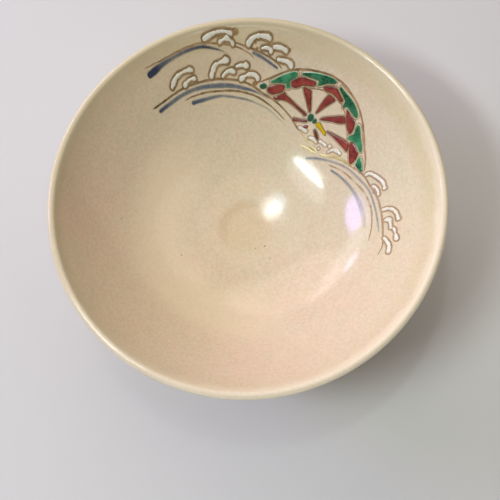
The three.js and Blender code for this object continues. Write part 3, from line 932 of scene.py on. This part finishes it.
inner_felloes = [
    [(8.1, 54.6), (8.4, 53.8), (9.6, 53.1), (11.5, 53.1), (14, 53.7), (14.8, 54.6), (14.3, 55.3),
     (12.1, 55.6), (9.6, 55.4)],
    [(17.9, 55.3), (19, 54.3), (20.9, 54.3), (22.8, 54.6), (25.9, 53.8), (27.3, 53.8), (27.1, 54.8),
     (24.3, 56), (22.4, 56.8), (20.3, 56.7), (18.4, 56.2)],
    [(30.9, 52.4), (32.1, 51.2), (34, 50.3), (36.2, 48.4), (37.8, 46.7), (38.2, 47.1), (37.1, 49),
     (35.9, 50.9), (34.6, 51.7), (32.1, 52.4)],
    [(40.3, 43.2), (40.4, 39.6), (40.9, 36.8), (41.5, 35.4), (42.3, 35.7), (43.1, 37.4), (43.1, 39),
     (41.5, 41.5)],
    [(41.8, 31.5), (41.7, 28.1), (42, 24.5), (43.1, 24.5), (44.3, 25.9), (44.8, 27.6), (44, 29.9),
     (42.8, 31.8)],
]
spokes = [
    [(10.6, 51.8), (11.8, 51.2), (14.3, 51), (17.1, 49.9), (21.5, 46.7), (23.4, 44.9), (24, 45.3),
     (19.6, 49), (15.6, 52.4), (14.9, 53.1), (12.4, 52.3)],
    [(22.9, 53.8), (23.1, 52.4), (24, 49.9), (25.3, 46), (25.7, 46), (25.9, 48.4), (25.9, 50.9),
     (25.6, 52.4)],
    [(32.9, 49.8), (30.9, 48.4), (29, 46.2), (28.1, 45.1), (28.7, 45.1), (32.1, 46.5), (35.1, 47.4),
     (35.3, 47.9), (33.4, 49.6)],
    [(29.9, 42.6), (32.1, 41.8), (34.6, 41), (37.1, 39.9), (39.8, 39.3), (39.8, 40.1), (39, 41.7),
     (35.3, 42.4), (32.1, 42.8)],
    [(32.6, 37.8), (34.6, 36.2), (36.8, 33.7), (38.7, 31.5), (40.4, 29.3), (40.9, 29.6), (41.2, 31.8),
     (39.3, 33.7), (36.5, 35.7), (33.4, 37.6)],
    [(27.6, 39.3), (27.9, 37.4), (28.7, 35.9), (29.2, 36.2), (28.1, 39)],
    round_dot(24, 40.9, 1.0, 0.5),
    [(18.7, 44), (19, 43.5), (21.2, 43.2), (24.2, 42.6), (24.3, 43.1), (20.9, 44), (19, 44.5)],
]
felloe_pulls = [
    [(5.4, 55.6, 0.1), (7.0, 55.6, 0.1)],
    [(9.5, 56.8, 0.4), (12.5, 57.0, 0.25), (15.5, 56.8, -0.25), (19.5, 58.0, -0.3)],
    [(22.6, 57.8, 0.6), (26, 56.9, 0.4), (29.5, 55.3, 0.0), (32, 54.4, 0.45), (35.2, 53, 0.4)],
    [(37.6, 50.8, 0.5), (39.5, 47.5, 0.4), (41, 45, 0.1), (42.5, 42.8, -0.1), (44, 40.6, -0.2)],
    [(44.7, 37, 0.2), (44.6, 34.5, -0.1), (44.8, 32, -0.35), (46.2, 28, -0.45)],
    [(45.8, 25, -0.1), (45.8, 23, 0.15), (46.6, 20.6, 0.3)],
]
green_reach = 0.2
red_reach = 0.25
spoke_reach = 0.16
for number, (corners, pull) in enumerate(zip(outer_felloes, felloe_pulls), 1):
    finish = dark_green if number == 1 else green
    stands_for = f"outer_felloe_{number}"
    cell(f"green_felloe_{number}", corners, finish, "green_enamel", stands_for, green_reach, pull=pull)
for number, corners in enumerate(inner_felloes, 1):
    cell(f"red_felloe_{number}", corners, red, "red_enamel", f"inner_felloe_{number}", red_reach)
for number, corners in enumerate(spokes, 1):
    cell(f"red_spoke_{number}", corners, red, "red_enamel", f"spoke_{number}", spoke_reach, shoulder=0.6)
hub_ring = round_dot(26.0, 43.8, 1.25, 1.25)
hub_cap = round_dot(27.6, 42.4, 0.85, 0.85)
axle_reach = 0.1
axle = [(28.0, 40.9), (28.7, 41.7), (29.8, 41.6), (31.2, 39.4), (32.4, 37.3), (31.8, 36.6), (29.8, 38.9)]
cell("hub_bead", hub_ring, dark_green, "green_enamel", "wheel_hub", green_reach)
cell("hub_cap_bead", hub_cap, dark_green, "green_enamel", "hub_cap", green_reach)
cell("axle_bead", axle, yellow, "yellow_enamel", "axle", axle_reach)

# The wheel's own lines, of the same iron: its tyre, the inner edge of its rim, and a fine
# line round each spoke and felloe that fences its enamel in.
fence_width = 0.4
fence_height = 0.07
fence_load = 0.35
tyre = [
    (4.9, 56.8), (8.7, 57.8), (14.9, 59.2), (18.1, 59.4), (21.5, 59.2), (25.9, 58.3), (32.1, 56),
    (37.8, 52.4), (41.8, 47.8), (44.9, 42.4), (46.7, 35.9), (47.4, 29.6), (47.9, 23.4), (47.6, 20.2),
]
rim_inside = [
    (21.5, 53.9), (25.9, 53), (30.3, 51.8), (35.4, 48.9), (38.2, 45.4), (39.8, 41.5), (40.5, 36),
    (41.1, 32.7),
]
fences = [spread(corners, green_reach + 0.4, 0.5) for corners in outer_felloes[1:]]
fences += [spread(corners, red_reach + 0.3, 0.5) for corners in inner_felloes]
fences += [spread(corners, spoke_reach + 0.25, 0.5) for corners in spokes[:6] + spokes[7:]]
wheel_lines = [ridge(with_width(tyre, 0.7, 0.75, 0.65), load=(0.5, 0.8))]
wheel_lines.append(ridge(with_width(rim_inside, 0.4, 0.5, 0.4), load=fence_load))
for fence in fences:
    fence_line = with_width(fence, fence_width)
    wheel_lines.append(ridge(fence_line, height=fence_height, closed=True, load=fence_load))
piece("wheel_lines", joined(wheel_lines), iron, "iron_line")

# Gold: a few strokes of liquid gold brushed over the finished enamels and fired low. Its pale
# yellow where the brush was full is partly a painted glint of the metal; elsewhere it is worn thin and brown.
gold_height = 0.12
gold_strokes = [
    with_width([(21.5, 34.7), (23.2, 33.9), (25.6, 32.4), (27.2, 31.3), (28.5, 30.7)], 0.45, 0.75, 0.7),
    with_width([(21.3, 40.0), (23.4, 37.3), (24.7, 35.8), (25.9, 34.6), (27, 33.3), (28.6, 31.5),
                (29.2, 30.8)], 0.4, 0.6, 0.65),
    with_width([(25.2, 33.9), (26.3, 32.8), (28.1, 31.5)], 0.3, 0.5, 0.3),
    with_width([(26.9, 33.9), (27.5, 33.4), (28.2, 32.7)], 0.4),
    with_width([(29.3, 30.7), (31.5, 29.3), (33.4, 28.8), (36.2, 28), (38.5, 26.7), (40.3, 25.3),
                (43, 22.7)], 0.6, 1.15, 0.8),
]


def gold():
    """Pale yellow where the brush was full, which is partly a painted glint, and brown and worn at the edges
    of a stroke.
    """
    made, tree, look = new_finish("Fired gold")
    cloud = use(tree, clouds, Size_mm=2, Seed=41)
    depth = recorded(tree, "depth")
    ink = recorded(tree, "ink")
    full_and_glinting = blend(tree, ink, shade(172, 146, 84), shade(255, 244, 180))
    worn = blend(tree, reckon(tree, "MULTIPLY", cloud.outputs["Cloud"], 0.3), full_and_glinting, shade(200, 172, 104))
    edge = reckon(tree, "MULTIPLY", ease(tree, depth, 0.9, 0.1), 0.6)
    edged = blend(tree, edge, worn, shade(166, 138, 74))
    left = reckon(tree, "MULTIPLY_ADD", cloud.outputs["Fine cloud"], 0.3, 0.7)
    body = reckon(tree, "MULTIPLY", ease(tree, depth, -0.2, 0.6), left)
    set_inputs(tree, look, Base_Color=edged, Metallic=0.1, Roughness=0.3, Alpha=body)
    return made


# How full each stroke's brush was, which also sets how much painted glint it shows.
gold_loads_and_glints = [1.2, (0.4, 1.1), -0.1, -0.2, (0.7, 0.4)]
gold_shapes = [ridge(line, height=gold_height, load=load) for line, load in zip(gold_strokes, gold_loads_and_glints)]
piece("gold_strokes", joined(gold_shapes), gold(), "gold_line")

# The setting: a plain pale table that fades into a pale room, soft light from the window side
# and from low in front, and two ceiling lamps, which give the glaze its highlights.
room_shade = shade(212, 212, 212)
room_light = 0.15
room_tint = (1.0, 0.975, 0.955, 1)
table_reach = 4
table_mesh = bpy.data.meshes.new("table")
table_shape = bmesh.new()
bmesh.ops.create_grid(table_shape, x_segments=1, y_segments=1, size=table_reach)
table_shape.to_mesh(table_mesh)
table_shape.free()
table_paint, paint_tree, table_look = new_finish("Pale table")
set_inputs(paint_tree, table_look, Base_Color=shade(206, 205, 202), Roughness=0.9)
table_place = node(paint_tree, "TexCoord").outputs["Object"]
away = node(paint_tree, "VectorMath", {"operation": "LENGTH"}, Vector=table_place)
far_off = ease(paint_tree, away.outputs["Value"], 0.3, 0.9)
seen_far = reckon(paint_tree, "MULTIPLY", far_off, node(paint_tree, "LightPath").outputs["Is Camera Ray"])
haze = node(paint_tree, "Emission", Color=room_shade, Strength=1.0)
fade = paint_tree.nodes.new("ShaderNodeMixShader")
for socket, source in zip(fade.inputs, (seen_far, table_look.outputs["BSDF"], haze.outputs["Emission"])):
    paint_tree.links.new(source, socket)
paint_tree.links.new(fade.outputs["Shader"], paint_tree.nodes["Material Output"].inputs["Surface"])
table_mesh.materials.append(table_paint)
table = bpy.data.objects.new("table", table_mesh)
bpy.context.scene.collection.objects.link(table)

world = bpy.data.worlds.new("Room")
world.use_nodes = True
room = world.node_tree
seen = node(room, "LightPath").outputs["Is Camera Ray"]
walls = room.nodes["Background"]
wall_light = reckon(room, "MULTIPLY_ADD", seen, 1 - room_light, room_light)
set_inputs(room, walls, Color=blend(room, seen, room_tint, room_shade), Strength=wall_light)
bpy.context.scene.world = world


def lamp(name, towards, distance, length, width, power, tint, along):
    """A flat oval lamp that faces the bowl's floor from a direction, its length laid along
    another. Its distance and size are in metres, and its power is in watts."""
    shine = bpy.data.lights.new(name, "AREA")
    shine.shape = "ELLIPSE"
    shine.size = length
    shine.size_y = width
    shine.energy = power
    shine.color = tint
    aim = Vector(towards).normalized()
    side = (Vector(along) - aim * aim.dot(Vector(along))).normalized()
    turned = Matrix((side, aim.cross(side), aim)).transposed().to_4x4()
    made = bpy.data.objects.new(name, shine)
    made.matrix_world = Matrix.Translation(aim * distance + Vector((0, 0, floor_height * MM))) @ turned
    made.visible_camera = False
    bpy.context.scene.collection.objects.link(made)


lamp("Window wall", (-0.75, 0.60, 0.27), 1.3, 1.3, 0.65, 5.1, (1.0, 0.91, 0.99), (0.6, 0.75, 0))
lamp("Window pane", (-0.852, 0.205, 0.478), 1.1, 0.35, 0.26, 2.95, (0.50, 0.40, 1.0), (0, 1, 0))
lamp("Lower pane", (-0.742, 0.601, 0.306), 1.06, 0.19, 0.10, 0.55, (0.50, 0.65, 1.0), (0.6, 0.75, 0))
lamp("Back wall", (-0.30, 0.75, 0.60), 1.3, 1.3, 0.9, 4.5, (1.0, 0.81, 0.67), (1, 0, 0))
lamp("Long lamp", (-0.52, -0.21, 0.83), 1.0, 0.36, 0.12, 3.9, (0.89, 0.99, 1.0), (-0.68, 0.73, 0))
lamp("Long lamp shade", (-0.47, -0.10, 0.87), 1.02, 0.46, 0.32, 0.9, (0.92, 0.99, 0.98), (-0.68, 0.73, 0))
lamp("Overhead", (-0.10, 0.15, 0.98), 1.3, 0.9, 0.9, 1.75, (1.0, 0.82, 0.68), (1, 0, 0))
lamp("Ceiling lamp", (-0.115, 0.167, 0.979), 1.0, 0.050, 0.042, 0.34, (1.0, 1.0, 0.98), (0.77, 0.64, 0))
lamp("Ceiling lamp tip", (-0.083, 0.199, 0.976), 1.0, 0.019, 0.019, 0.1, (1.0, 1.0, 0.98), (0.77, 0.64, 0))
lamp("Ceiling lamp shade", (-0.165, 0.115, 0.98), 1.02, 0.14, 0.09, 0.28, (0.5, 0.85, 1.0), (-0.63, -0.78, 0))
lamp("Right fill", (0.50, 0.28, 0.82), 1.3, 1.3, 0.9, 2.1, (1.0, 0.93, 0.85), (0, 1, 0))
lamp("Low front fill", (0.10, -0.99, 0.04), 0.9, 1.1, 0.09, 1.5, (1.0, 0.97, 0.93), (1, 0, 0))

# The camera: above the near side of the bowl, looking down into it.
camera_place = (0.0007, -0.1002, 0.3734)
camera_tilt = math.radians(14.21)
camera = bpy.data.cameras.new("Camera")
camera.lens = 63.68
camera.sensor_width = 36
camera.clip_start = 0.01
eye = bpy.data.objects.new("Camera", camera)
eye.location = camera_place
eye.rotation_euler = (camera_tilt, 0, 0)
bpy.context.scene.collection.objects.link(eye)
bpy.context.scene.camera = eye
bpy.context.scene.view_settings.view_transform = "Standard"
